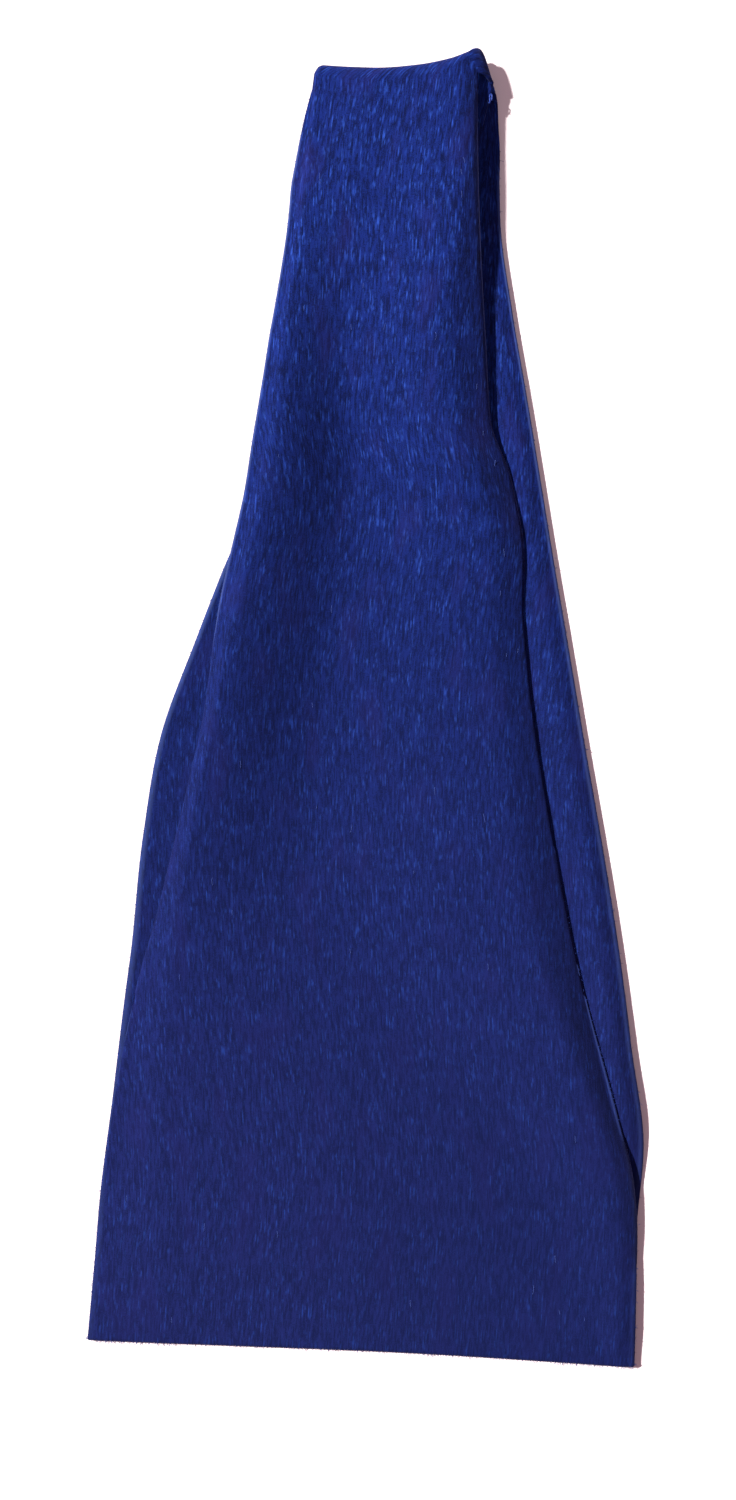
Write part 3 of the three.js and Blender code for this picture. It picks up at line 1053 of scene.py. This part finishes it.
# Lengths on the stage are in metres.
FLOOR_REACH = 2.5  # from the middle to each side of the floor
WALL_REACH = 2.4  # from the middle to the pale wall round the floor
WALL_SIDES = 64
WALL_COLOUR = (0.95, 0.93, 0.93)
VIEW_LENGTH = 0.2769  # length of floor that the picture's long side takes in
VIEW_CENTRE = (-2.3 * MM, -8.6 * MM)
SENSOR_WIDTH = 36
LAMP_PLACE = (-0.30, 0.22, 0.33)
LAMP_SIZE = 0.1


def add_floor(settings):
    """The pale floor, and the pale wall round it."""
    mesh = bpy.data.meshes.new("floor")
    reach = FLOOR_REACH
    corners = [(-reach, -reach, 0), (reach, -reach, 0), (reach, reach, 0), (-reach, reach, 0)]
    mesh.from_pydata(corners, [], [(0, 1, 2, 3)])
    floor = bpy.data.objects.new("floor", mesh)
    mesh.materials.append(floor_material(settings))
    bpy.context.scene.collection.objects.link(floor)
    steps = WALL_SIDES
    turns = [2 * math.pi * k / steps for k in range(steps)]
    points = [(WALL_REACH * math.cos(a), WALL_REACH * math.sin(a), z) for z in (0, WALL_REACH) for a in turns]
    faces = [(k, (k + 1) % steps, steps + (k + 1) % steps, steps + k) for k in range(steps)]
    mesh = bpy.data.meshes.new("backdrop")
    mesh.from_pydata(points, [], faces)
    backdrop = bpy.data.objects.new("backdrop", mesh)
    pale = {"Base Color": rgba((0, 0, 0)), "Emission Color": rgba(WALL_COLOUR), "Emission Strength": 1.0}
    pale["Specular IOR Level"] = 0.0
    mesh.materials.append(Shader("pale_backdrop", pale).material)
    backdrop.visible_shadow = backdrop.visible_diffuse = backdrop.visible_glossy = False
    bpy.context.scene.collection.objects.link(backdrop)


def add_camera(scene, settings, turn):
    """The camera, looking straight down."""
    data = bpy.data.cameras.new("camera")
    data.sensor_width = SENSOR_WIDTH
    data.lens = SENSOR_WIDTH * settings.camera_distance / VIEW_LENGTH
    camera = bpy.data.objects.new("camera", data)
    camera.matrix_world = Matrix.Translation((*VIEW_CENTRE, settings.camera_distance)) @ turn.to_4x4()
    scene.collection.objects.link(camera)
    scene.camera = camera


def add_lights(scene, settings, turn):
    """The room's even light, the key light, and a weak near lamp that casts no shadow."""
    world = bpy.data.worlds.new("room")
    world.use_nodes = True
    world.node_tree.nodes["Background"].inputs["Color"].default_value = rgba(settings.room_colour)
    scene.world = world
    light = bpy.data.lights.new("key", "SUN")
    light.energy = settings.key_strength
    light.angle = settings.key_angle
    light.color = (1, 1, 0.98)
    key = bpy.data.objects.new("key", light)
    level = math.cos(settings.key_height)
    left, behind = level * math.cos(settings.key_turn), level * math.sin(settings.key_turn)
    towards = turn @ Vector((-left, behind, math.sin(settings.key_height)))
    key.matrix_world = Matrix.Translation(towards) @ towards.to_track_quat("Z", "Y").to_matrix().to_4x4()
    scene.collection.objects.link(key)
    near = bpy.data.lights.new("lamp", "AREA")
    near.energy = settings.lamp_power
    near.size = LAMP_SIZE
    near.use_shadow = False
    lamp = bpy.data.objects.new("lamp", near)
    place = turn @ Vector(LAMP_PLACE)
    aim = place - Vector((0, 0.05, 0))
    lamp.matrix_world = Matrix.Translation(place) @ aim.to_track_quat("Z", "Y").to_matrix().to_4x4()
    scene.collection.objects.link(lamp)


class SWEATBAND_PT_panel(bpy.types.Panel):
    """Lists the sweatband's pieces"""

    bl_label = "Sweatband"
    bl_idname = "SWEATBAND_PT_panel"
    bl_space_type = "VIEW_3D"
    bl_region_type = "UI"
    bl_category = "Sweatband"

    def draw(self, context):
        for operator in OPERATORS:
            self.layout.operator(operator.bl_idname)


OPERATORS = (SWEATBAND_OT_stage, SWEATBAND_OT_cloth, SWEATBAND_OT_seam, SWEATBAND_OT_fibres)
GROUPS = {
    "sweatband_cloth": SweatbandCloth,
    "sweatband_seam": SweatbandSeam,
    "sweatband_fibres": SweatbandFibres,
    "sweatband_stage": SweatbandStage,
}


def register():
    """Adds the settings, operators and panel."""
    for group in GROUPS.values():
        bpy.utils.register_class(group)
    for name, group in GROUPS.items():
        setattr(bpy.types.Scene, name, bpy.props.PointerProperty(type=group))
    for part in (*OPERATORS, SWEATBAND_PT_panel):
        bpy.utils.register_class(part)


def unregister():
    for part in (SWEATBAND_PT_panel, *reversed(OPERATORS)):
        bpy.utils.unregister_class(part)
    for name, group in reversed(GROUPS.items()):
        delattr(bpy.types.Scene, name)
        bpy.utils.unregister_class(group)


def main():
    """Makes the stage and every piece."""
    register()
    bpy.ops.sweatband.stage()
    bpy.ops.sweatband.cloth()
    bpy.ops.sweatband.seam()
    bpy.ops.sweatband.fibres()


if __name__ == "__main__":
    main()
